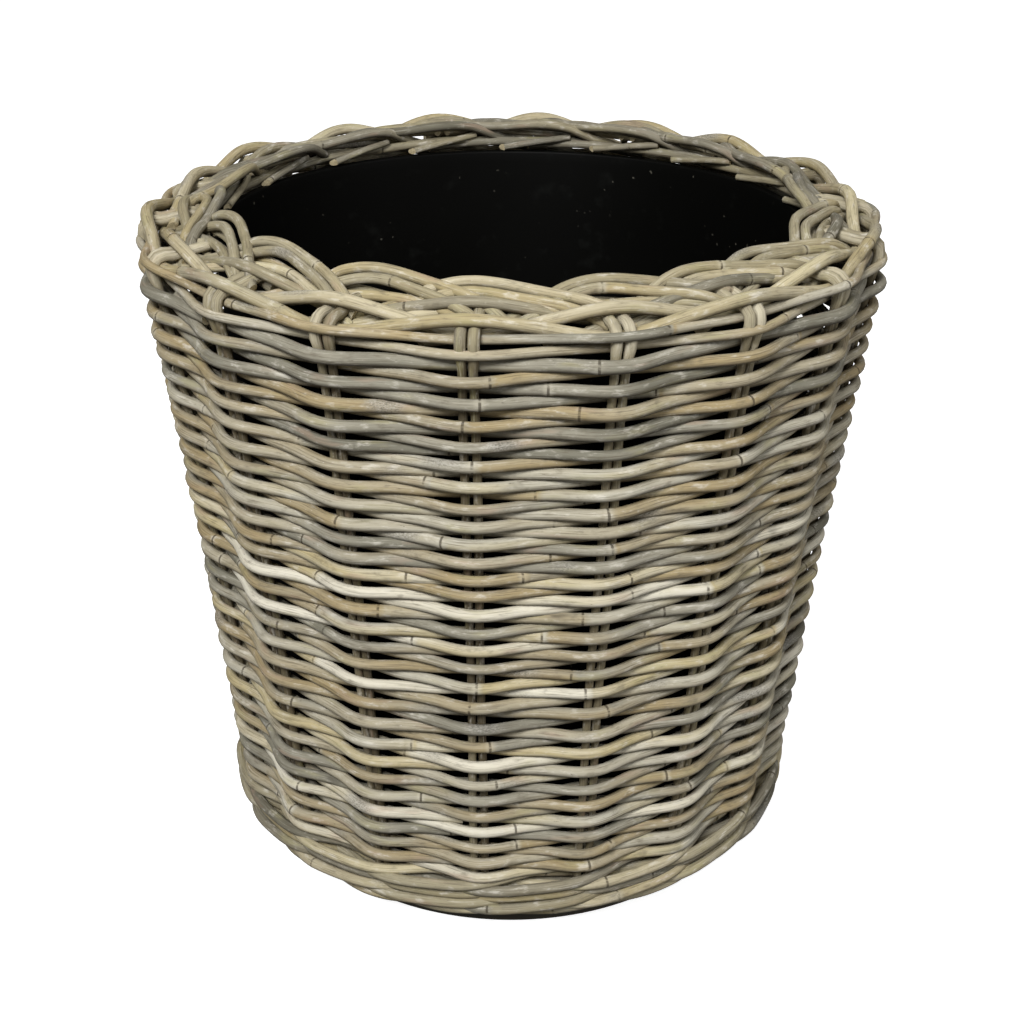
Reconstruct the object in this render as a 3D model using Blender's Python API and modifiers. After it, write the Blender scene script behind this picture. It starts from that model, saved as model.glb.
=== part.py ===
"""Wicker log basket: a tapered round basket of rattan rods woven in and out of paired stakes, with
a rolled border round its mouth that holds in a black plastic liner.

Units are metres and +Z is up. The origin is the middle of the liner's flat foot, and the front
faces -Y. Each solid here has the outer shape of its piece: a pair of weaving rods, one in
front of each stake and one behind it, that goes round the basket twice is one ring with an eye
for each pair of stakes.
"""

import math

import bmesh
import bpy

# Driving dimensions
RIM_RADIUS = 0.250
RIM_HEIGHT = 0.445
OVERALL_HEIGHT = 0.474
STAKE_PAIRS = 18
FRONT_STAKE_ANGLE = math.radians(-5.6)
WEAVER_THICKNESS = 0.0068
STAKE_DIAMETER = 0.0053
GAP = 0.0003
EYE_CLEARANCE = 0.0005

# Siding: pairs of rods that chase each other up the wall in plain weave, each long enough for two
# rounds. These are the heights of the pairs, which the maker packed closer in some places.
SIDING_BOTTOM = 0.0593
PAIR_HEIGHTS = [
    *(0.0232, 0.0265, 0.0270, 0.0290, 0.0305, 0.0300, 0.0265),
    *(0.0270, 0.0230, 0.0240, 0.0255, 0.0275, 0.0260, 0.0300),
]
SIDING_TOP = SIDING_BOTTOM + sum(PAIR_HEIGHTS)

# Base wale: two rows that turn in round the bottom edge
WALE_BOTTOM = 0.018
WALE_MIDDLE = 0.042

# The wall's outer side, as (radius, height) from the turned-in bottom edge up to the rim. It flares
# a little more in each third.
WALL_LINE = [
    (0.1850, WALE_BOTTOM),
    (0.2035, WALE_MIDDLE),
    (0.2052, SIDING_BOTTOM),
    (0.2213, SIDING_BOTTOM + sum(PAIR_HEIGHTS[:6])),
    (0.2401, SIDING_BOTTOM + sum(PAIR_HEIGHTS[:12])),
    (RIM_RADIUS, RIM_HEIGHT),
]

# The stakes' centre line from the rim in over the shoulder
SHOULDER_BEND = [(0.2385, 0.4495), (0.2330, 0.4508), (0.2270, 0.4508), (0.2150, 0.4550)]

# Shoulder courses, as (inner radius, outer radius, lowest height, highest height)
THIN_COURSE_TOP = 0.4455
TAN_COURSE = (0.2280, 0.2475, 0.4537, 0.4640)
GREY_COURSE = (0.2135, 0.2268, 0.4590, 0.4660)

# Rolled border
BORDER_INNER_RADIUS = 0.1885
BORDER_OUTER_RADIUS = 0.2130
BORDER_BOTTOM = 0.4490
SCALLOP_DEPTH = 0.0075
BORDER_ROUNDING = 0.0045

# Liner
LINER_FOOT_RADIUS = 0.161
LINER_MOUTH_RADIUS = 0.196
LINER_HEIGHT = 0.4475
LINER_WALL = 0.0025
LINER_FLOOR = 0.003
LIP_WIDTH = 0.003
LIP_DEPTH = 0.004
LINER_STEPS = 48

PITCH = 2 * math.pi / STAKE_PAIRS
WEAVE_DEPTH = 2 * WEAVER_THICKNESS + STAKE_DIAMETER
# Midway between stakes the two rods of a pair cross, one above the other, so the ring is thin there.
PINCH_OUT = 0.0055
PINCH_IN = 0.0055


def wall_radius(height):
    """The wall's outer radius at a height: straight between the points of WALL_LINE."""
    if height <= WALL_LINE[0][1]:
        return WALL_LINE[0][0]
    for (low_radius, low), (high_radius, high) in zip(WALL_LINE, WALL_LINE[1:]):
        if height <= high:
            return low_radius + (high_radius - low_radius) * (height - low) / (high - low)
    return WALL_LINE[-1][0]


def stake_radius(height):
    """The radius of the stakes' own centre line, in the middle of the wall's thickness."""
    return wall_radius(height) - WEAVE_DEPTH / 2


def clear_scene():
    for scene_object in list(bpy.data.objects):
        bpy.data.objects.remove(scene_object, do_unlink=True)


def make_material(name, colour, roughness, metallic=0.0):
    material = bpy.data.materials.new(name)
    material.use_nodes = True
    shader = material.node_tree.nodes["Principled BSDF"]
    shader.inputs["Base Color"].default_value = (*colour, 1.0)
    shader.inputs["Roughness"].default_value = roughness
    shader.inputs["Metallic"].default_value = metallic
    return material


def add_piece(name, data, material, collection):
    """Puts a mesh or curve in the basket's collection as the named piece."""
    piece = bpy.data.objects.new(name, data)
    data.materials.clear()
    data.materials.append(material)
    collection.objects.link(piece)
    return piece


def mesh_from_curve(curve):
    """The curve's solid as a welded mesh. The curve and its object are removed."""
    maker = bpy.data.objects.new("maker", curve)
    bpy.context.scene.collection.objects.link(maker)
    graph = bpy.context.evaluated_depsgraph_get()
    mesh = bpy.data.meshes.new_from_object(maker.evaluated_get(graph))
    bpy.data.objects.remove(maker, do_unlink=True)
    bpy.data.curves.remove(curve)
    builder = bmesh.new()
    builder.from_mesh(mesh)
    bmesh.ops.remove_doubles(builder, verts=builder.verts, dist=1e-6)
    bmesh.ops.recalc_face_normals(builder, faces=builder.faces)
    builder.to_mesh(mesh)
    builder.free()
    return mesh


def flat_outline(name, loops, low, high, rounding=0.0):
    """A flat shape bounded by closed loops of (x, y) points, from one height to another.
    With rounding, its edges are rounded by that radius, which also widens it by as much."""
    curve = bpy.data.curves.new(name, "CURVE")
    curve.dimensions = "2D"
    curve.fill_mode = "BOTH"
    curve.extrude = (high - low) / 2 - rounding
    curve.bevel_depth = rounding
    curve.bevel_resolution = 1
    for loop in loops:
        spline = curve.splines.new("POLY")
        spline.points.add(len(loop) - 1)
        for point, (x, y) in zip(spline.points, loop):
            point.co = (x, y, 0, 1)
        spline.use_cyclic_u = True
    mesh = mesh_from_curve(curve)
    for vertex in mesh.vertices:
        vertex.co.z += (low + high) / 2
    return mesh


def around(radius, angle):
    """(x, y) at this radius and at this angle from the front (-Y) towards +X."""
    return radius * math.sin(angle), -radius * math.cos(angle)


def stake_angle(index):
    return FRONT_STAKE_ANGLE + index * PITCH


def zigzag(at_stakes, between):
    """A closed loop with a point at each stake and one midway to the next."""
    loop = []
    for index in range(STAKE_PAIRS):
        loop.append(around(at_stakes, stake_angle(index)))
        loop.append(around(between, stake_angle(index) + PITCH / 2))
    return loop


def eye(index, radius, slope):
    """The four-cornered opening that one pair of stakes passes through, longer where they lean."""
    half_depth = STAKE_DIAMETER / 2 * math.hypot(1, slope) + EYE_CLEARANCE
    half_width = STAKE_DIAMETER + GAP / 2 + EYE_CLEARANCE
    angle = stake_angle(index)
    out_x, out_y = around(1.0, angle)
    corners = []
    for depth, width in ((-1, -1), (1, -1), (1, 1), (-1, 1)):
        along = radius + depth * half_depth
        across = width * half_width
        corners.append((along * out_x - across * out_y, along * out_y + across * out_x))
    return corners


def flare(mesh, low, high):
    """Scales the points at the top of a ring outwards, so that the ring follows the wall."""
    spread = stake_radius(high) / stake_radius(low)
    for vertex in mesh.vertices:
        if vertex.co.z > (low + high) / 2:
            vertex.co.x *= spread
            vertex.co.y *= spread


def woven_ring(name, low, high):
    """A band of woven rods between two heights: it bulges at the stakes, inside and out, and is
    one rod deep between them."""
    outside = wall_radius(low)
    inside = outside - WEAVE_DEPTH
    slope = (wall_radius(high) - outside) / (high - low)
    loops = [
        zigzag(outside, outside - PINCH_OUT),
        zigzag(inside, inside + PINCH_IN),
    ]
    loops += [eye(index, stake_radius(low), slope) for index in range(STAKE_PAIRS)]
    mesh = flat_outline(name, loops, low, high)
    flare(mesh, low, high)
    return mesh


def stake_curve(name, index, side):
    """One round stake. It runs up the middle of the wall and bends in over the shoulder, under the
    tan and grey courses, to its tip beside the rolled border."""
    line = [(radius - WEAVE_DEPTH / 2, height) for radius, height in WALL_LINE]
    line += SHOULDER_BEND
    curve = bpy.data.curves.new(name, "CURVE")
    curve.dimensions = "3D"
    curve.bevel_depth = STAKE_DIAMETER / 2
    curve.bevel_resolution = 1
    curve.use_fill_caps = True
    spline = curve.splines.new("POLY")
    spline.points.add(len(line) - 1)
    out_x, out_y = around(1.0, stake_angle(index))
    across = side * (STAKE_DIAMETER + GAP) / 2
    for point, (radius, height) in zip(spline.points, line):
        x = radius * out_x - across * out_y
        y = radius * out_y + across * out_x
        point.co = (x, y, height, 1)
    return curve


def border_outlines():
    """The rolled border's inner loop, with one scallop for each pair of stakes, and its round
    outer loop. The flat outline's rounding widens both, so they are drawn in by as much."""
    inner, outer = [], []
    points_in_scallop = 4
    for index in range(STAKE_PAIRS * points_in_scallop):
        part = index % points_in_scallop / points_in_scallop
        angle = stake_angle(0) + index * PITCH / points_in_scallop
        hollow = SCALLOP_DEPTH * (1 - math.sin(math.pi * part))
        inner.append(around(BORDER_INNER_RADIUS + BORDER_ROUNDING + hollow, angle))
        if index % 2 == 0:
            outer.append(around(BORDER_OUTER_RADIUS - BORDER_ROUNDING, angle))
    return outer, inner


def liner_profile():
    """(radius, height) from the middle of the floor up the inside, over the lip, and down the
    outside to the middle of the foot."""
    inner_foot = LINER_FOOT_RADIUS - LINER_WALL
    inner_mouth = LINER_MOUTH_RADIUS - LINER_WALL
    fillet = 0.008
    lip_radius = LINER_MOUTH_RADIUS + LIP_WIDTH
    return [
        (0.0, LINER_FLOOR),
        (inner_foot - fillet, LINER_FLOOR),
        (inner_foot, LINER_FLOOR + fillet),
        (inner_mouth, LINER_HEIGHT - LIP_WIDTH / 2),
        (inner_mouth + LIP_WIDTH / 2, LINER_HEIGHT),
        (lip_radius - LIP_WIDTH / 2, LINER_HEIGHT),
        (lip_radius, LINER_HEIGHT - LIP_WIDTH / 2),
        (lip_radius, LINER_HEIGHT - LIP_DEPTH),
        (LINER_MOUTH_RADIUS - 0.0004, LINER_HEIGHT - LIP_DEPTH - 0.001),
        (LINER_FOOT_RADIUS, fillet / 2),
        (LINER_FOOT_RADIUS - fillet / 2, 0.0),
        (0.0, 0.0),
    ]


def make_liner(material, collection):
    mesh = bpy.data.meshes.new("liner")
    profile = liner_profile()
    edges = [(index, index + 1) for index in range(len(profile) - 1)]
    mesh.from_pydata([(radius, 0.0, height) for radius, height in profile], edges, [])
    liner = add_piece("liner", mesh, material, collection)
    turn = liner.modifiers.new("turn", "SCREW")
    turn.axis = "Z"
    turn.steps = LINER_STEPS
    turn.render_steps = LINER_STEPS
    turn.use_merge_vertices = True
    turn.merge_threshold = 0.00001
    turn.use_smooth_shade = True
    return liner


clear_scene()
basket = bpy.data.collections.new("wicker_log_basket")
bpy.context.scene.collection.children.link(basket)

stake_rattan = make_material("stake_rattan", (0.30, 0.25, 0.17), 0.6)
weaver_rattan = make_material("weaver_rattan", (0.42, 0.37, 0.28), 0.55)
border_rattan = make_material("border_rattan", (0.38, 0.31, 0.21), 0.5)
liner_plastic = make_material("liner_plastic", (0.012, 0.012, 0.014), 0.42)

make_liner(liner_plastic, basket)

for number in range(STAKE_PAIRS):
    for side, hand in ((-1, "left"), (1, "right")):
        stake_name = f"stake_{number + 1:02d}_{hand}"
        stake = mesh_from_curve(stake_curve(stake_name, number, side))
        stake.name = stake_name
        add_piece(stake_name, stake, stake_rattan, basket)

wale_rows = (("base_wale_lower", WALE_BOTTOM, WALE_MIDDLE), ("base_wale_upper", WALE_MIDDLE, SIDING_BOTTOM))
for row_name, bottom, top in wale_rows:
    add_piece(row_name, woven_ring(row_name, bottom, top - GAP), border_rattan, basket)

for number, pair_height in enumerate(PAIR_HEIGHTS):
    bottom = SIDING_BOTTOM + sum(PAIR_HEIGHTS[:number])
    pair_name = f"weaver_pair_{number + 1:02d}"
    ring = woven_ring(pair_name, bottom, bottom + pair_height - GAP)
    add_piece(pair_name, ring, weaver_rattan, basket)

thin = woven_ring("shoulder_thin_pair", SIDING_TOP, THIN_COURSE_TOP)
add_piece("shoulder_thin_pair", thin, weaver_rattan, basket)

for course_name, (inner, outer, bottom, top) in (
    ("shoulder_tan_pair", TAN_COURSE),
    ("shoulder_grey_pair", GREY_COURSE),
):
    wave = 0.0015
    loops = [zigzag(outer, outer - wave), zigzag(inner, inner + wave)]
    course = flat_outline(course_name, loops, bottom, top)
    add_piece(course_name, course, border_rattan, basket)

border = flat_outline(
    "rolled_border", border_outlines(), BORDER_BOTTOM, OVERALL_HEIGHT, BORDER_ROUNDING
)
add_piece("rolled_border", border, border_rattan, basket)
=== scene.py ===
"""The looks of the wicker log basket: greyed round rattan rods woven round paired stakes, a rolled
border, and a black plastic liner. Every rod is a tube carried along its own path.

Metres, +Z up. Places round the basket are counted in stake spaces from the stake nearest the
front (-Y), towards +X.
"""

import bpy
import numpy as np
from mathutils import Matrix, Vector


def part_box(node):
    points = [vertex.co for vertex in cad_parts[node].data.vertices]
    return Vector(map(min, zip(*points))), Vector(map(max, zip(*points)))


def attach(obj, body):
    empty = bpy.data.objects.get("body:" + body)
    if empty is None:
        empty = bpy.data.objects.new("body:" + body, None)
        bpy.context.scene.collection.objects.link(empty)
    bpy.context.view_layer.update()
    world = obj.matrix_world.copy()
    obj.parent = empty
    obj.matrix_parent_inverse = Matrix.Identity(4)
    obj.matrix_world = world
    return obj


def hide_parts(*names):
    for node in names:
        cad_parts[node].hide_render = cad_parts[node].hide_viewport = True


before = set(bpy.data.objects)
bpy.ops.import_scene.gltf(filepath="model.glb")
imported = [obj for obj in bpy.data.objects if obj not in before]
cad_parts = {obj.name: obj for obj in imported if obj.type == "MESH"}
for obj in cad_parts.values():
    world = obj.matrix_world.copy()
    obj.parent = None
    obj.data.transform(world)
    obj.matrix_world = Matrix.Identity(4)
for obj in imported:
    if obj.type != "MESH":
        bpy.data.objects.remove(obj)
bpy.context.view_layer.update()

# ---------------------------------------------------------------------------------------------
# Camera: a little above the rim and in front, looking down into the mouth.
CAMERA_BACK = 1.125
CAMERA_HEIGHT = 0.7585
CAMERA_RIGHT = 0.0007
CAMERA_TILT = np.radians(25.06)
CAMERA_LENS = 60.8

lens = bpy.data.cameras.new("camera")
lens.lens = CAMERA_LENS
lens.sensor_width = 36
camera = bpy.data.objects.new("camera", lens)
camera.location = (CAMERA_RIGHT, -CAMERA_BACK, CAMERA_HEIGHT)
camera.rotation_euler = (np.pi / 2 - CAMERA_TILT, 0, 0)
bpy.context.scene.collection.objects.link(camera)
bpy.context.scene.camera = camera
bpy.context.scene.view_settings.view_transform = "Standard"


# ---------------------------------------------------------------------------------------------
# Liner: a rigid tub moulded in black plastic, with a flat floor and a lip turned outwards. It is
# dropped in before the border is rolled over its lip, and the basket stands on its foot. The foot
# here is set wider than the foot of the liner's own node.
FOOT_RADIUS = 0.1670
LINER_WALL = 0.0025
LINER_FLOOR = 0.003
LINER_STEPS = 144
LIP_REACH = 0.003
LIP_DEPTH = 0.004
FOOT_ROUNDING = 0.002
FOOT_EASE = 0.0003
MOUTH_EASE = 0.0006
LIP_EASE = 0.0008
LINER_ROWS = 24
FLOOR_ROWS = 8


def paint(code):
    """The linear colour of a paint chip written as RRGGBB."""
    channels = np.array([int(code[i : i + 2], 16) / 255 for i in (0, 2, 4)])
    dark = channels <= 0.04045
    return (*np.where(dark, channels / 12.92, ((channels + 0.055) / 1.055) ** 2.4), 1.0)


class Value:
    """One socket in a material's nodes. Arithmetic on values adds Math nodes for it."""

    def __init__(self, tree, socket):
        self.tree = tree
        self.socket = socket

    def node(self, kind, settings, inputs, output=0):
        """Adds a node: its settings first, then numbers, colours or other values for its sockets.
        A socket is named by its label or by its number. Returns the output as a value."""
        made = self.tree.nodes.new("ShaderNode" + kind)
        for name, setting in settings.items():
            if name == "stops":
                ramp = made.color_ramp
                while len(ramp.elements) < len(setting):
                    ramp.elements.new(1.0)
                for stop, (place, chip) in zip(ramp.elements, setting):
                    stop.position = place
                    stop.color = chip
            else:
                setattr(made, name, setting)
        open_sockets = [s for s in made.inputs if s.enabled]
        for key, value in inputs.items():
            if isinstance(key, int):
                socket = open_sockets[key]
            else:
                socket = next(s for s in open_sockets if s.name == key)
            if isinstance(value, Value):
                self.tree.links.new(value.socket, socket)
            else:
                socket.default_value = value
        outputs = [s for s in made.outputs if s.enabled]
        if isinstance(output, int):
            return Value(self.tree, outputs[output])
        return Value(self.tree, next(s for s in outputs if s.name == output))

    def math(self, operation, first, second):
        return self.node("Math", {"operation": operation}, {0: first, 1: second})

    def __add__(self, other):
        return self.math("ADD", self, other)

    def __radd__(self, other):
        return self.math("ADD", other, self)

    def __sub__(self, other):
        return self.math("SUBTRACT", self, other)

    def __rsub__(self, other):
        return self.math("SUBTRACT", other, self)

    def __mul__(self, other):
        return self.math("MULTIPLY", self, other)

    def fade(self, low, high):
        """0 below low and 1 above high, with a smooth step between. Swapped ends turn it round."""
        ends = {"Value": self, "From Min": min(low, high), "From Max": max(low, high)}
        step = self.node("MapRange", {"interpolation_type": "SMOOTHSTEP"}, ends)
        return step if low < high else 1 - step

    def mixed(self, other, amount):
        """This colour and another one, mixed by amount."""
        inputs = {"Factor": amount, "A": self, "B": other}
        return self.node("Mix", {"data_type": "RGBA"}, inputs)

    def stretched(self, along, across):
        """This position, stretched for a pattern: along the first axis, and across it."""
        scale = (along, across, across)
        return self.node("VectorMath", {"operation": "MULTIPLY"}, {0: self, 1: scale})

    def noise(self, scale=1.0, detail=2.0, roughness=0.5):
        """Soft noise at this position, from 0 to 1."""
        inputs = {"Vector": self, "Scale": scale, "Detail": detail, "Roughness": roughness}
        return self.node("TexNoise", {"noise_dimensions": "3D"}, inputs)


def new_material(name):
    """A material with an empty Principled shader, as (material, shader node, first value)."""
    material = bpy.data.materials.new(name)
    material.use_nodes = True
    shader = material.node_tree.nodes["Principled BSDF"]
    return material, shader, Value(material.node_tree, None)


def connect(value, shader, name):
    """Links a value to one of the shader's sockets."""
    value.tree.links.new(value.socket, shader.inputs[name])


def black_plastic(name):
    """Moulded black plastic: satin, with a faint orange-peel surface, a few specks of dust, dull
    scuffs, and a foot that turns grey towards the bottom."""
    material, shader, start = new_material(name)
    place = start.node("TexCoord", {}, {}, "Object")
    peel = place.noise(900, 2)
    cloud = place.noise(14, 3)
    dust = place.noise(190, 1).fade(0.75, 0.79) * cloud.fade(0.40, 0.62)
    scuff = place.noise(60, 4).fade(0.58, 0.78)
    base = start.node("RGB", {}, {})
    base.socket.default_value = paint("050504")
    worn = base.mixed(paint("121311"), scuff * 0.5)
    foot = place.node("SeparateXYZ", {}, {0: place}, 2).fade(0.030, 0.012)
    worn = worn.mixed(paint("4A463E"), foot * (0.5 + cloud * 0.6))
    connect(worn.mixed(paint("7A776B"), dust * 0.35), shader, "Base Color")
    connect(0.44 + cloud * 0.14 + scuff * 0.10, shader, "Roughness")
    bump = {"Height": peel * 0.4 + scuff * 0.4, "Distance": 0.0002, "Strength": 0.3}
    connect(start.node("Bump", {}, bump), shader, "Normal")
    shader.inputs["Specular IOR Level"].default_value = 0.07
    return material


def show(name, points, faces, materials, nodes, attributes=(), skins=None):
    """Puts a finished surface in the scene as a piece that stands for CAD nodes."""
    mesh = bpy.data.meshes.new(name)
    mesh.from_pydata(points, [], faces)
    for label, kind, values in attributes:
        attribute = mesh.attributes.new(label, kind, "POINT")
        field = "vector" if kind == "FLOAT_VECTOR" else "value"
        attribute.data.foreach_set(field, np.asarray(values, np.float32).ravel())
    for material in materials:
        mesh.materials.append(material)
    if skins is not None:
        mesh.polygons.foreach_set("material_index", np.asarray(skins, np.int32))
    mesh.shade_smooth()
    mesh.set_sharp_from_angle(angle=np.radians(55))
    mesh.update()
    piece = bpy.data.objects.new(name, mesh)
    bpy.context.scene.collection.objects.link(piece)
    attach(piece, "root")
    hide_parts(*nodes)


def turned(profile, steps):
    """A turned surface: profile point (r, z) at step i of a turn is (r cos a, r sin a, z). The
    profile starts and ends on the axis, where a single point closes it."""
    angle = np.arange(steps) * 2 * np.pi / steps
    radius, height = profile[1:-1, 0], profile[1:-1, 1]
    rings = np.stack(
        [
            radius[:, None] * np.cos(angle),
            radius[:, None] * np.sin(angle),
            height[:, None] + 0 * angle,
        ],
        axis=-1,
    ).reshape(-1, 3)
    ends = np.array([[0, 0, profile[0, 1]], [0, 0, profile[-1, 1]]])
    points = np.concatenate([rings, ends])
    here = np.arange(steps)
    beside = (here + 1) % steps
    ring = (np.arange(len(radius) - 1) * steps)[:, None]
    quads = np.stack([ring + here, ring + beside, ring + beside + steps, ring + here + steps], -1)
    last = (len(radius) - 1) * steps
    bottom = np.stack([beside, here, 0 * here + len(rings)], axis=-1)
    top = np.stack([last + here, last + beside, 0 * here + len(rings) + 1], axis=-1)
    return points, quads.reshape(-1, 4).tolist() + bottom.tolist() + top.tolist()


def arc(centre, radius, start, end, count):
    """Points on an arc of a profile: centre + radius (cos, sin) between two angles in degrees."""
    angle = np.radians(np.linspace(start, end, count))
    return np.stack([centre[0] + radius * np.cos(angle), centre[1] + radius * np.sin(angle)], -1)


liner_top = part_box("liner")[1].z
lip_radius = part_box("liner")[1].x
mouth_radius = lip_radius - LIP_REACH
lip_roll = LINER_WALL / 2 + 0.0002
liner_profile = np.concatenate(
    [
        [[0, 0]],
        arc((FOOT_RADIUS - FOOT_ROUNDING, FOOT_ROUNDING), FOOT_ROUNDING, -90, 0, 6),
        np.linspace(
            [FOOT_RADIUS + FOOT_EASE, 2 * FOOT_ROUNDING],
            [mouth_radius - MOUTH_EASE, liner_top - 2 * LIP_DEPTH],
            LINER_ROWS,
        ),
        [[mouth_radius, liner_top - LIP_DEPTH], [lip_radius - LIP_EASE, liner_top - LIP_DEPTH]],
        arc((lip_radius - lip_roll, liner_top - lip_roll), lip_roll, -60, 90, 7),
        arc((mouth_radius - LINER_WALL + lip_roll, liner_top - lip_roll), lip_roll, 90, 180, 5),
        np.linspace(
            [mouth_radius - LINER_WALL - MOUTH_EASE, liner_top - 2 * LIP_DEPTH],
            [FOOT_RADIUS - LINER_WALL, LINER_FLOOR + FOOT_ROUNDING],
            LINER_ROWS,
        ),
        arc(
            (FOOT_RADIUS - LINER_WALL - FOOT_ROUNDING, LINER_FLOOR + FOOT_ROUNDING),
            FOOT_ROUNDING,
            0,
            -90,
            6,
        ),
        np.linspace([0.9 * FOOT_RADIUS, LINER_FLOOR], [0.01, LINER_FLOOR], FLOOR_ROWS),
        [[0, LINER_FLOOR]],
    ]
)
liner_points, liner_faces = turned(liner_profile, LINER_STEPS)
show("liner_tub", liner_points, liner_faces, [black_plastic("liner_black")], ["liner"])


# ---------------------------------------------------------------------------------------------
# Stakes: eighteen pairs of rattan rods that stand up the wall, bend in over the shoulder and end
# in shaved tips under the border. They are the warp that everything else is woven round.
ROD_SIDES = 12
STAKE_WIDTH = 0.0053
STAKE_BEND_WIDTH = 0.0068
STAKE_SPREAD = 0.00325
STAKE_BEND_SPREAD = 0.0041
STAKE_FOOT = 0.031
STAKE_DEPTH = 0.0087
NODE_REACH = 0.02
NODE_SWELL = 0.045
NODE_LENGTH = 0.0035
NODE_TONE = 0.13
END_CLEARANCE = 0.004
MOST_NODES = 64
RIM_START = 0.440
RIM_FULL = 0.460
RIM_LIFT = ([0.197, 0.208], [0.0048, 0.0080])
RIM_HIGHEST = np.radians(188)
LEAN = -0.0015
WALL_TOP = 0.425
BEND_START = 0.428
BEND_HEIGHT = 0.012

stake_nodes = sorted(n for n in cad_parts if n.startswith("stake_"))
STAKES = len(stake_nodes) // 2
PITCH = 2 * np.pi / STAKES
FRONT_STAKE = np.radians(-5.6)

ring_names = ["base_wale_lower", "base_wale_upper"]
ring_names += sorted(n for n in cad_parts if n.startswith("weaver_pair_"))
ring_tops = np.array([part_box(n)[1].z for n in ring_names])
ring_radii = np.array([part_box(n)[1].x for n in ring_names])


def stake_radius(height):
    """The radius of the stakes' middle: the wall's outer side less half its thickness, and drawn
    in a little more towards the foot."""
    drawn_in = 0.002 * np.clip(1 - height / 0.14, 0, 1)
    return np.interp(height, ring_tops, ring_radii) - STAKE_DEPTH - drawn_in


def at(turns, radius, height):
    """Points on the basket, at this many stake spaces round from the front stake. The rim stands
    higher towards the back, where its lift grows with ((1 + cos a) / 2) squared, a being the angle
    from its highest place. The whole basket leans a little, more towards the foot."""
    angle = FRONT_STAKE + turns * PITCH
    rim = np.clip((height - RIM_START) / (RIM_FULL - RIM_START), 0, 1)
    behind = ((1 + np.cos(angle - RIM_HIGHEST)) / 2) ** 2
    lift = np.interp(radius, *RIM_LIFT) * rim**2 * (3 - 2 * rim) * behind
    x = radius * np.sin(angle) + LEAN * (1 - height / RIM_FULL)
    return np.stack([x, -radius * np.cos(angle), height + lift], -1)


def smooth_path(knots, count):
    """A smooth line through knots, as `count` rows: a cubic between each two, whose slopes at a
    knot come from its neighbours. Columns are free, and the first one is the parameter."""
    knots = np.asarray(knots, float)
    t, y = knots[:, 0], knots[:, 1:]
    slope = np.gradient(y, t, axis=0)
    x = np.linspace(t[0], t[-1], count)
    i = np.clip(np.searchsorted(t, x) - 1, 0, len(t) - 2)
    step = (t[i + 1] - t[i])[:, None]
    f = (x[:, None] - t[i][:, None]) / step
    start, end = y[i], y[i + 1]
    cubic = (
        (1 + 2 * f) * (1 - f) ** 2 * start
        + f * (1 - f) ** 2 * step * slope[i]
        + f**2 * (3 - 2 * f) * end
        - f**2 * (1 - f) * step * slope[i + 1]
    )
    return np.column_stack([x, cubic])


def wander(rng, turns, reach):
    """A slow drift within about `reach`: three sine waves of random length and phase, summed."""
    waves = rng.uniform(0.4, 2.8, 3)[:, None]
    phases = rng.uniform(0, 2 * np.pi, 3)[:, None]
    return reach / 2 * np.sin(waves * turns + phases).sum(axis=0)


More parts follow.
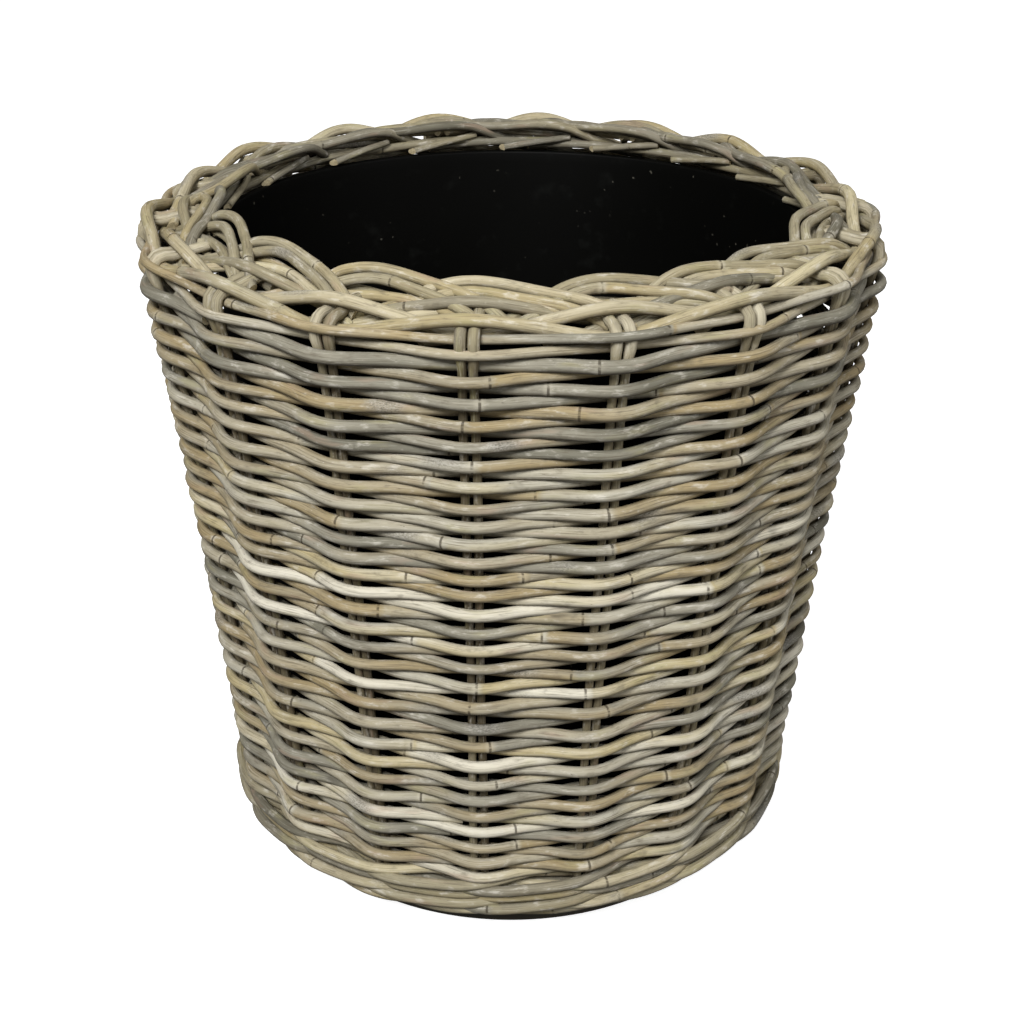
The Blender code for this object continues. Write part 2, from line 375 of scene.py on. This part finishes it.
def rod(rng, line, width, facing, tint, cuts=(0.0, 0.0), node_gap=(0.10, 0.32)):
    """One rod of rattan as rings of points square to its centre line. Ring i is centre + width / 2
    (cos a side + sin a up), swollen by a few per cent at each node. The ends are cut: a cut of 1
    slants at 45 degrees. Each point keeps its place along and across the rod, the rod's tint, which
    changes a little at each node, and how far it is from a node."""
    tangent = np.gradient(line, axis=0)
    tangent /= np.linalg.norm(tangent, axis=1)[:, None]
    side = np.cross(tangent, facing)
    side /= np.linalg.norm(side, axis=1)[:, None]
    up = np.cross(side, tangent)
    length = np.concatenate([[0], np.cumsum(np.linalg.norm(np.diff(line, axis=0), axis=1))])
    marks = rng.uniform(*node_gap, MOST_NODES).cumsum() - rng.uniform(0, node_gap[1])
    marks = marks[(marks > END_CLEARANCE) & (marks < length[-1] - END_CLEARANCE)]
    marks = length[np.abs(length[:, None] - marks).argmin(axis=0)] if len(marks) else marks
    gap = np.full(len(line), NODE_REACH)
    if len(marks):
        gap = np.minimum(gap, np.abs(length[:, None] - marks).min(axis=1))
    swell = 1 + NODE_SWELL * np.exp(-((gap / NODE_LENGTH) ** 2))
    tone = tint + rng.normal(0, NODE_TONE, len(marks) + 1)[np.searchsorted(marks, length)]
    radius = np.broadcast_to(width, len(line)) / 2 * swell
    angle = np.arange(ROD_SIDES) * 2 * np.pi / ROD_SIDES
    across = radius[:, None, None] * (
        np.cos(angle)[None, :, None] * side[:, None] + np.sin(angle)[None, :, None] * up[:, None]
    )
    slant = np.zeros(len(line))
    slant[0], slant[-1] = cuts
    across += (slant * radius)[:, None, None] * np.cos(angle)[None, :, None] * tangent[:, None]
    points = line[:, None] + across
    seed = rng.uniform(-4, 4)
    place = np.empty(points.shape)
    place[..., 0] = seed + length[:, None]
    place[..., 1] = radius[:, None] * np.cos(angle)
    place[..., 2] = radius[:, None] * np.sin(angle)
    tips = line[[0, -1]]
    tip_places = np.array([[seed, 0, 0], [seed + length[-1], 0, 0]])
    here = np.arange(ROD_SIDES)
    beside = (here + 1) % ROD_SIDES
    ring = (np.arange(len(line) - 1) * ROD_SIDES)[:, None]
    quads = np.stack(
        [ring + here, ring + here + ROD_SIDES, ring + beside + ROD_SIDES, ring + beside], axis=-1
    ).reshape(-1, 4)
    total = len(line) * ROD_SIDES
    last = total - ROD_SIDES
    caps = np.concatenate(
        [
            np.stack([here, beside, 0 * here + total], axis=-1),
            np.stack([last + beside, last + here, 0 * here + total + 1], axis=-1),
        ]
    )
    return {
        "points": np.concatenate([points.reshape(-1, 3), tips]),
        "quads": quads,
        "caps": caps,
        "place": np.concatenate([place.reshape(-1, 3), tip_places]),
        "gap": np.concatenate([np.repeat(gap, ROD_SIDES), [NODE_REACH, NODE_REACH]]),
        "tint": np.concatenate([np.repeat(tone, ROD_SIDES), tone[[0, -1]]]),
    }


def show_rods(name, rods, materials, nodes):
    """Puts several rods in the scene as one piece. Their cut ends take the second material."""
    offsets = np.cumsum([0] + [len(r["points"]) for r in rods[:-1]])
    quads = np.concatenate([r["quads"] + o for r, o in zip(rods, offsets)])
    caps = np.concatenate([r["caps"] + o for r, o in zip(rods, offsets)])
    attributes = [
        ("rod_place", "FLOAT_VECTOR", np.concatenate([r["place"] for r in rods])),
        ("rod_tint", "FLOAT", np.concatenate([r["tint"] for r in rods])),
        ("node_gap", "FLOAT", np.concatenate([r["gap"] for r in rods])),
    ]
    skins = np.concatenate([np.zeros(len(quads)), np.ones(len(caps))])
    points = np.concatenate([r["points"] for r in rods])
    faces = quads.tolist() + caps.tolist()
    show(name, points, faces, materials, nodes, attributes, skins)


def rattan(name, chips, shine=0.0, underside_shade=0.75):
    """The skin of greyed rattan: each rod has its own tint between grey, khaki, straw and cream,
    under blotches, fine lengthwise streaks, flecks of bark, white scuffs, faint green and pink
    blushes, dark stains, stretches of weathered speckle, painted shade along the underside, and a
    broken dark ring at each node."""
    material, shader, start = new_material(name)
    place = start.node("Attribute", {"attribute_name": "rod_place"}, {}, "Vector")
    tint = start.node("Attribute", {"attribute_name": "rod_tint"}, {}, "Fac")
    gap = start.node("Attribute", {"attribute_name": "node_gap"}, {}, "Fac")
    drift = place.stretched(8, 60).noise(1, 2)
    blotch = place.stretched(90, 240).noise(1, 4, 0.62)
    streak = place.stretched(38, 1250).noise(1, 3, 0.65)
    grain = place.stretched(260, 3200).noise(1, 2)
    bark = place.stretched(120, 560).noise(1.3, 4, 0.7)
    blush = place.stretched(14, 70).noise(1.9, 2)
    stain = place.stretched(20, 50).noise(1.7, 3)
    zone = place.stretched(11, 20).noise(1.3, 1).fade(0.62, 0.74)
    speckle = place.stretched(650, 1400).noise(1, 3, 0.7)
    under = place.node("SeparateXYZ", {}, {0: place}, 2).fade(0.0002, -0.0034)
    shade = tint * 0.86 + drift * 0.6 - 0.23
    steps = [(i / (len(chips) - 1), paint(chip)) for i, chip in enumerate(chips)]
    skin = shade.node("ValToRGB", {"stops": steps}, {"Fac": shade}, "Color")
    skin = skin.mixed(paint("A39C70"), blush.fade(0.58, 0.74) * 0.40)
    skin = skin.mixed(paint("A68D78"), blush.fade(0.40, 0.26) * 0.40)
    skin = skin.mixed(paint("DDD8CB"), blotch.fade(0.53, 0.74) * 0.55)
    skin = skin.mixed(paint("645C4C"), blotch.fade(0.45, 0.26) * 0.50)
    skin = skin.mixed(paint("544A38"), streak.fade(0.50, 0.30) * 0.60)
    skin = skin.mixed(paint("E6E1D3"), streak.fade(0.56, 0.78) * 0.35)
    skin = skin.mixed(paint("4A3B28"), bark.fade(0.66, 0.73) * 0.75)
    skin = skin.mixed(paint("F2EFE6"), bark.fade(0.32, 0.25) * 0.6)
    skin = skin.mixed(paint("454036"), stain.fade(0.66, 0.80) * 0.55)
    skin = skin.mixed(paint("94918A"), zone * 0.55)
    skin = skin.mixed(paint("39332A"), zone * speckle.fade(0.48, 0.62) * 0.6)
    skin = skin.mixed(paint("E9E6DE"), zone * speckle.fade(0.44, 0.32) * 0.35)
    # Painted shade: the lower side of each rod is darkened by this amount.
    skin = skin.mixed(paint("33291B"), under * underside_shade)
    ring = gap.fade(0.0010, 0.0004) * blotch.fade(0.36, 0.56)
    lip = gap.fade(0.0040, 0.0012) * drift.fade(0.40, 0.60)
    skin = skin.mixed(paint("CFC8B4"), lip * 0.25)
    skin = skin.mixed(paint("33291A"), ring * 0.75)
    connect(skin, shader, "Base Color")
    connect(0.60 - shine + streak * 0.16 + blotch * 0.12, shader, "Roughness")
    height = streak * 0.7 + grain * 0.3 + bark.fade(0.62, 0.74) * 0.5 - ring * 1.5
    bump = {"Height": height, "Distance": 0.0003, "Strength": 0.9}
    connect(start.node("Bump", {}, bump), shader, "Normal")
    shader.inputs["Specular IOR Level"].default_value = 0.24
    return material


def cut_cane(name):
    """The cut end of a rod: pale pith with dark pores."""
    material, shader, start = new_material(name)
    place = start.node("Attribute", {"attribute_name": "rod_place"}, {}, "Vector")
    cells = {"Vector": place, "Scale": 2600.0}
    pores = place.node("TexVoronoi", {}, cells, "Distance").fade(0.34, 0.16)
    grey = place.noise(500, 2)
    stops = [(0.3, paint("A89A78")), (0.8, paint("CDBF9C"))]
    base = grey.node("ValToRGB", {"stops": stops}, {"Fac": grey})
    connect(base.mixed(paint("4B3E29"), pores * 0.7), shader, "Base Color")
    connect(0.75 + grey * 0.1, shader, "Roughness")
    connect(start.node("Bump", {}, {"Height": 1 - pores, "Distance": 0.0002}), shader, "Normal")
    return material


GREYS = ["757264", "999484", "9F8E6A", "A89F88", "B3AE9D", "B5A77F", "C9C2AD", "D8D2C0"]
STAKE_TONES = ["554C3A", "6F654E", "877E66", "A0977D", "B3AA92", "C6BFA9"]
TANS = ["6D695A", "898372", "958B6E", "A09880", "A49671", "B2A88D", "BEB392"]
end_grain = cut_cane("cane_end_grain")
weaver_skin = [rattan("weaver_skin", GREYS), end_grain]
stake_skin = [rattan("stake_skin", STAKE_TONES, underside_shade=0.0), end_grain]
border_skin = [rattan("border_skin", TANS, shine=0.06), end_grain]

# The stakes' middle line over the shoulder, as (radius, height).
SHOULDER = [
    (0.2402, 0.4360),
    (0.2420, 0.4430),
    (0.2410, 0.4485),
    (0.2365, 0.4515),
    (0.2290, 0.4515),
    (0.2215, 0.4530),
    (0.2130, 0.4545),
    (0.2050, 0.4550),
]

stake_rng = np.random.default_rng(11)
sway = stake_rng.normal(0, 0.012, STAKES)
for index in range(STAKES):
    wall_heights = np.linspace(STAKE_FOOT, WALL_TOP, 9)
    middle = np.concatenate([np.stack([stake_radius(wall_heights), wall_heights], -1), SHOULDER])
    run = np.concatenate([[0], np.cumsum(np.linalg.norm(np.diff(middle, axis=0), axis=1))])
    for hand, name in ((-1, "left"), (1, "right")):
        path = smooth_path(np.column_stack([run, middle]), 110)
        share = path[:, 0] / run[-1]
        bend = np.clip((path[:, 2] - BEND_START) / BEND_HEIGHT, 0, 1)
        width = STAKE_WIDTH + (STAKE_BEND_WIDTH - STAKE_WIDTH) * bend
        spread = STAKE_SPREAD + (STAKE_BEND_SPREAD - STAKE_SPREAD) * bend
        sideways = hand * spread + wander(stake_rng, share * 6, 0.0006)
        # The stakes are darker in the wall and lighter over the bend: partly their own colour, partly
        # painted shade where they stand back inside the weave.
        tint = stake_rng.uniform(0.05, 0.30) + bend * stake_rng.uniform(0.35, 0.55)
        turns = index + sway[index] * share + sideways / (path[:, 1] * PITCH)
        line = at(turns, path[:, 1], path[:, 2])
        angle = FRONT_STAKE + turns * PITCH
        facing = np.stack([np.cos(angle), np.sin(angle), 0 * angle], -1)
        width = width * np.interp(share, [0, 0.985, 1], [1, 1, 0.72])
        one = rod(stake_rng, line, width, facing, tint, (0, 0.5), (0.2, 0.5))
        node = f"stake_{index + 1:02d}_{name}"
        show_rods(node.replace("stake_", "stake_rod_"), [one], stake_skin, [node])


# ---------------------------------------------------------------------------------------------
# Base wale: rods woven three at a time, each over two stakes and behind one, pulled tight to lock
# the stakes' feet. The lowest row turns in round the bottom edge in long overlapping strokes.
WALE_WIDTH = 0.0072
WALE_DEPTH = 0.0062
WALE_SAG = 0.0025
FOOT_STROKE_WIDTH = 0.0074
POINTS_PER_SPACE = 16


def wale_row(rng, height, slope, tuck=0.0):
    """One row of three-rod wale. Rod m goes out over stakes m and m + 1 of each three and in
    behind the next: its offset is 1/3 + 4/3 cos of a third of a turn for each stake space. It
    climbs by `slope` for each space in front and drops again behind."""
    rods = []
    for member in range(3):
        start = member + 1.75
        turns = np.linspace(start, start + STAKES - 0.04, STAKES * POINTS_PER_SPACE)
        phase = (turns - member - 0.5 + 1.5) % 3 - 1.5
        offset = 1 / 3 + 4 / 3 * np.cos(2 * np.pi * phase / 3)
        climb = slope * np.where(np.abs(phase) < 1, phase, np.sign(phase) * (3 - 2 * np.abs(phase)))
        heights = height + climb + wander(rng, turns, 0.0006)
        sag = WALE_SAG * np.sin(np.pi * turns) ** 2
        radius = stake_radius(heights) - tuck + WALE_DEPTH * offset - sag
        width = WALE_WIDTH * (1 + wander(rng, turns, 0.04))
        line = at(turns, radius, heights)
        rods.append(rod(rng, line, width, np.array([0, 0, 1.0]), rng.uniform(0, 1)))
    return rods


wale_rng = np.random.default_rng(23)
upper_rods = wale_row(wale_rng, height=0.0530, slope=0.0050)
upper_rods += wale_row(wale_rng, height=0.0455, slope=0.0030, tuck=0.0030)
lower_rods = wale_row(wale_rng, height=0.0385, slope=0.0050)

# The lowest strokes, as (stake spaces, radius, height): each comes out from under the one before,
# turns up round the edge and goes in over the next stake.
FOOT_STROKE = [
    (-0.62, 0.1735, 0.0290),
    (-0.35, 0.1780, 0.0268),
    (0.00, 0.1835, 0.0262),
    (0.40, 0.1900, 0.0280),
    (0.80, 0.1965, 0.0320),
    (1.20, 0.1975, 0.0365),
    (1.50, 0.1910, 0.0400),
]
for index in range(STAKES):
    shift = wale_rng.normal(0, 0.05)
    path = smooth_path(FOOT_STROKE, 34)
    radius = path[:, 1] + wander(wale_rng, path[:, 0], 0.0008)
    heights = path[:, 2] + wander(wale_rng, path[:, 0], 0.0006)
    width = FOOT_STROKE_WIDTH * np.interp(path[:, 0], [-0.62, -0.1, 1.2, 1.5], [0.55, 1, 1, 0.8])
    line = at(path[:, 0] + index + shift, radius, heights)
    tint = wale_rng.uniform(0.2, 1)
    lower_rods.append(rod(wale_rng, line, width, np.array([0, 0, 1.0]), tint, (0.8, 0.3)))
show_rods("base_wale_rods_upper", upper_rods, border_skin, ["base_wale_upper"])
show_rods("base_wale_rods_lower", lower_rods, border_skin, ["base_wale_lower"])


# ---------------------------------------------------------------------------------------------
# Siding: round rods in plain weave, in front of one pair of stakes and behind the next. Two rods
# chase each other up the wall, so that each round lies opposite to the one below it. Each round is
# drawn level, and each piece here is the four rounds of one ring.
ROUNDS_PER_PIECE = 4
WEAVER_WIDTH = 0.0071
SPLICE_SHARE = 0.4
WEAVE_REACH = 0.0063
CHORD_SHARE = 0.8
LAP_SPACES = 0.8
TUCK_IN = 0.0045
TUCK_UP = 0.0012
LAP_OUT = 0.0016
LAP_DOWN = 0.0008
RIM_PAINTED_SHADE_HEIGHTS = [0.34, 0.38]
THICKER_HEIGHTS = [0.38, 0.42]


def weave(turns, course, sharpness):
    """1 where a rod lies in front of a stake and -1 where it lies behind one, nearly straight
    between: (cos x + s cos 3x) / (1 + s), with half a turn of x for each stake space."""
    x = np.pi * (turns + course)
    return (np.cos(x) + sharpness * np.cos(3 * x)) / (1 + sharpness)


def chord(turns, radius):
    """How far a rod that runs straight from stake to stake falls inside the circle there."""
    return radius * (1 - np.cos(PITCH / 2)) * np.sin(np.pi * turns) ** 2


def wall_round(rng, course, height, width, tint):
    """One round of plain weave at a height, as an open rod. Its ends meet behind a stake or, at a
    splice, its cut end laps over the tucked start between two stakes."""
    first = 2 * rng.integers(STAKES // 2) + 1 - course % 2
    spliced = rng.random() < SPLICE_SHARE
    overlap = 0.5 if spliced else -0.03
    first = first + (rng.uniform(1.2, 1.6) if spliced else 0.015)
    turns = np.linspace(first, first + STAKES + overlap, STAKES * POINTS_PER_SPACE)
    stake = np.round(turns).astype(int) % STAKES
    push = rng.normal(0, 0.0004, STAKES)[stake]
    steady = np.cos(np.pi * turns) ** 2
    heights = height + wander(rng, turns, 0.0005) + steady * rng.normal(0, 0.0004, STAKES)[stake]
    radius = (
        stake_radius(heights)
        + WEAVE_REACH * weave(turns, course, rng.uniform(0.11, 0.22))
        - CHORD_SHARE * chord(turns, stake_radius(height))
        + wander(rng, turns, 0.0003)
        + push * steady
    )
    if spliced:
        tucked = np.clip(1 - (turns - first) / LAP_SPACES, 0, 1) ** 2
        lapped = np.clip(1 - (turns[-1] - turns) / LAP_SPACES, 0, 1) ** 2
        radius = radius - TUCK_IN * tucked + LAP_OUT * lapped
        heights = heights + TUCK_UP * tucked - LAP_DOWN * lapped
    widths = width * rng.uniform(0.88, 1.12) * (1 + wander(rng, turns, 0.03))
    return rod(rng, at(turns, radius, heights), widths, np.array([0, 0, 1.0]), tint, (0.2, 0.2))


siding_rng = np.random.default_rng(5)
course = 0
for name in ring_names[2:]:
    low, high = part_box(name)
    rise = (high.z - low.z) / ROUNDS_PER_PIECE
    rods = []
    for step in range(ROUNDS_PER_PIECE):
        height = low.z + (step + 0.5) * rise
        # Rounds high on the wall get darker tints: painted shade under the rim.
        tint = siding_rng.uniform(0, 1) * np.interp(height, RIM_PAINTED_SHADE_HEIGHTS, [1, 0.35])
        width = WEAVER_WIDTH * np.interp(height, THICKER_HEIGHTS, [1, 1.07])
        rods.append(wall_round(siding_rng, course, height, width, tint))
        course += 1
    show_rods(name.replace("weaver_pair", "weaver_rods"), rods, weaver_skin, [name])


# ---------------------------------------------------------------------------------------------
# Shoulder: the same weave goes on over the bend of the stakes. First two thin rods, then two thick
# tan ones, and last a grey-brown one near the stakes' tips.
def shoulder_round(rng, over_even, over_odd, width, tint, sharpness=0.05, first=1):
    """One round over the shoulder. It goes between two places, (radius, height) at the even stakes
    and at the odd ones, by the same wave as the siding."""
    turns = np.linspace(first + 0.015, first + STAKES - 0.015, STAKES * POINTS_PER_SPACE)
    share = (1 + weave(turns, 0, sharpness)) / 2
    radius = over_odd[0] + (over_even[0] - over_odd[0]) * share
    height = over_odd[1] + (over_even[1] - over_odd[1]) * share
    radius = radius - CHORD_SHARE * chord(turns, over_odd[0]) + wander(rng, turns, 0.0006)
    height = height + wander(rng, turns, 0.0005)
    widths = width * (1 + wander(rng, turns, 0.03))
    return rod(rng, at(turns, radius, height), widths, np.array([0, 0, 1.0]), tint)


shoulder_rng = np.random.default_rng(31)
thin = [
    shoulder_round(shoulder_rng, (0.2440, 0.4395), (0.2335, 0.4385), 0.0058, 0.35),
    shoulder_round(shoulder_rng, (0.2350, 0.4450), (0.2455, 0.4478), 0.0056, 0.25, first=0),
]
show_rods("shoulder_rods_thin", thin, weaver_skin, ["shoulder_thin_pair"])
tan = [
    shoulder_round(shoulder_rng, (0.2380, 0.4567), (0.2355, 0.4440), 0.0080, 0.60),
    shoulder_round(shoulder_rng, (0.2275, 0.4440), (0.2270, 0.4588), 0.0080, 0.75, first=0),
]
show_rods("shoulder_rods_tan", tan, border_skin, ["shoulder_tan_pair"])
grey = [shoulder_round(shoulder_rng, (0.2145, 0.4600), (0.2150, 0.4475), 0.0070, 0.1)]
show_rods("shoulder_rods_grey", grey, border_skin, ["shoulder_grey_pair"])


# ---------------------------------------------------------------------------------------------
# Rolled border: a group of five rods at each stake pair, bent down inside the mouth one group after
# another. Each group passes over the start of the next and dives outwards. The middle and under
# rods fill the border out, and the short cut tips hang inside. Paths are (stake spaces, radius,
# height) from the group's own stake.
ARCH_START = 0.444
ARCH_HEIGHT = 0.016
BACK_PAINTED_SHADE = 0.75
BORDER_INNER = [
    (-1.35, 0.2280, 0.4400),
    (-1.00, 0.2210, 0.4440),
    (-0.75, 0.2120, 0.4490),
    (-0.55, 0.2030, 0.4535),
    (-0.42, 0.1985, 0.4580),
    (-0.35, 0.1970, 0.4604),
    (-0.20, 0.1938, 0.4630),
    (0.00, 0.1920, 0.4640),
    (0.20, 0.1930, 0.4632),
    (0.40, 0.1960, 0.4615),
    (0.58, 0.1998, 0.4598),
    (0.70, 0.2035, 0.4590),
    (0.85, 0.2100, 0.4580),
    (1.00, 0.2165, 0.4550),
    (1.15, 0.2220, 0.4490),
]
BORDER_OUTER = [
    (-1.00, 0.2280, 0.4410),
    (-0.75, 0.2210, 0.4450),
    (-0.55, 0.2135, 0.4500),
    (-0.35, 0.2065, 0.4550),
    (-0.20, 0.2020, 0.4583),
    (-0.02, 0.1992, 0.4602),
    (0.15, 0.2000, 0.4603),
    (0.35, 0.2035, 0.4592),
    (0.55, 0.2085, 0.4580),
    (0.72, 0.2140, 0.4565),
    (0.88, 0.2190, 0.4530),
    (1.02, 0.2230, 0.4470),
]
BORDER_MIDDLE = [
    (-1.00, 0.2290, 0.4425),
    (-0.70, 0.2220, 0.4460),
    (-0.40, 0.2145, 0.4505),
    (-0.10, 0.2085, 0.4535),
    (0.15, 0.2070, 0.4545),
    (0.40, 0.2090, 0.4545),
    (0.65, 0.2145, 0.4530),
    (0.90, 0.2205, 0.4500),
    (1.15, 0.2270, 0.4440),
]
BORDER_UNDER = [
    (-1.10, 0.2200, 0.4440),
    (-0.70, 0.2110, 0.4475),
    (-0.35, 0.2050, 0.4500),
    (0.00, 0.2018, 0.4505),
    (0.40, 0.2018, 0.4503),
    (0.80, 0.2045, 0.4490),
    (1.15, 0.2090, 0.4470),
]
BORDER_TIP = [
    (-0.35, 0.2010, 0.4540),
    (-0.15, 0.1965, 0.4535),
    (0.10, 0.1945, 0.4515),
    (0.38, 0.1940, 0.4490),
]

# Groups that were pulled along, inwards or up as the border was rolled, by group number.
BORDER_PULLS = {
    2: (-0.08, 0.0000, -0.0010),
    3: (-0.38, 0.0000, 0.0000),
    4: (-0.18, 0.0025, 0.0000),
    5: (0.00, 0.0020, 0.0000),
    14: (0.00, 0.0020, 0.0020),
    15: (0.00, 0.0055, 0.0035),
    16: (0.00, 0.0065, 0.0045),
    17: (0.07, 0.0035, 0.0025),
}


def border_rod(rng, knots, index, width, tint, jitter, cuts):
    """One rod of a border group, along its knots from the group's stake, a little out of true."""
    path = smooth_path(knots, 60)
    along, inwards, up = BORDER_PULLS.get(index, (0, 0, 0))
    arch = np.clip((path[:, 2] - ARCH_START) / ARCH_HEIGHT, 0, 1)
    turns = path[:, 0] + index + along + rng.normal(0, 0.03)
    radius = path[:, 1] - inwards * arch + rng.normal(0, jitter)
    radius = radius + wander(rng, path[:, 0] * 2, 0.0010)
    heights = path[:, 2] + up * arch + rng.normal(0, 0.0004) + wander(rng, path[:, 0] * 2, 0.0004)
    line = at(turns, radius, heights)
    return rod(rng, line, width, np.array([0, 0, 1.0]), tint, cuts)


border_rng = np.random.default_rng(47)
border_rods = []
for index in range(STAKES):
    # Rods towards the back get darker tints: painted shade on the back of the border.
    behind = (1 - np.cos(FRONT_STAKE + index * PITCH)) / 2
    tints = border_rng.uniform(0.1, 1, 5) * (1 - BACK_PAINTED_SHADE * behind)
    border_rods += [
        border_rod(border_rng, BORDER_INNER, index, 0.0066, tints[0], 0.0010, (0.6, 0.8)),
        border_rod(border_rng, BORDER_OUTER, index, 0.0066, tints[1], 0.0010, (0.6, 0.8)),
        border_rod(border_rng, BORDER_MIDDLE, index, 0.0062, tints[4], 0.0008, (0.4, 0.6)),
        border_rod(border_rng, BORDER_UNDER, index, 0.0064, tints[3], 0.0004, (0.4, 0.6)),
        border_rod(border_rng, BORDER_TIP, index, 0.0048, tints[2], 0.0005, (0, 1.4)),
    ]
show_rods("border_rods", border_rods, border_skin, ["rolled_border"])


# ---------------------------------------------------------------------------------------------
# Floor and lights: a plain pale floor that glows by itself, a dim even sky, and three soft lamps: the
# main one high in front to the left, a weak one overhead and a weak one to the right.
FLOOR_REACH = 40
floor_mesh = bpy.data.meshes.new("floor")
floor_corners = [(-1, -1), (1, -1), (1, 1), (-1, 1)]
floor_points = [(x * FLOOR_REACH, y * FLOOR_REACH, 0) for x, y in floor_corners]
floor_mesh.from_pydata(floor_points, [], [(0, 1, 2, 3)])
floor = bpy.data.objects.new("floor", floor_mesh)
bpy.context.scene.collection.objects.link(floor)
floor_paint, floor_shader, _ = new_material("floor_pale")
floor_shader.inputs["Base Color"].default_value = (0.9, 0.9, 0.9, 1)
floor_shader.inputs["Roughness"].default_value = 0.9
floor_shader.inputs["Emission Color"].default_value = (1, 1, 1, 1)
floor_shader.inputs["Emission Strength"].default_value = 0.85
floor.visible_diffuse = False
floor.visible_glossy = False
floor_mesh.materials.append(floor_paint)

world = bpy.data.worlds.new("studio")
world.use_nodes = True
sky = world.node_tree.nodes["Background"]
sky.inputs["Color"].default_value = (1, 1, 1, 1)
sky.inputs["Strength"].default_value = 0.22
bpy.context.scene.world = world
LAMP_TARGET = np.array([0, 0, 0.25])


def lamp(name, place, size, power):
    """A square soft lamp that faces the basket's middle."""
    light = bpy.data.lights.new(name, "AREA")
    light.size = size
    light.energy = power
    made = bpy.data.objects.new(name, light)
    made.location = place
    away = np.array(place) - LAMP_TARGET
    yaw = np.arctan2(away[0], -away[1])
    tilt = np.arctan2(np.hypot(away[0], away[1]), away[2])
    made.rotation_euler = (tilt, 0, yaw)
    bpy.context.scene.collection.objects.link(made)


lamp("key_lamp", (-0.55, -1.8, 1.9), 0.8, 62)
lamp("top_lamp", (0.2, 0.2, 2.6), 1.6, 8)
lamp("side_lamp", (2.0, -1.2, 1.4), 1.0, 13)
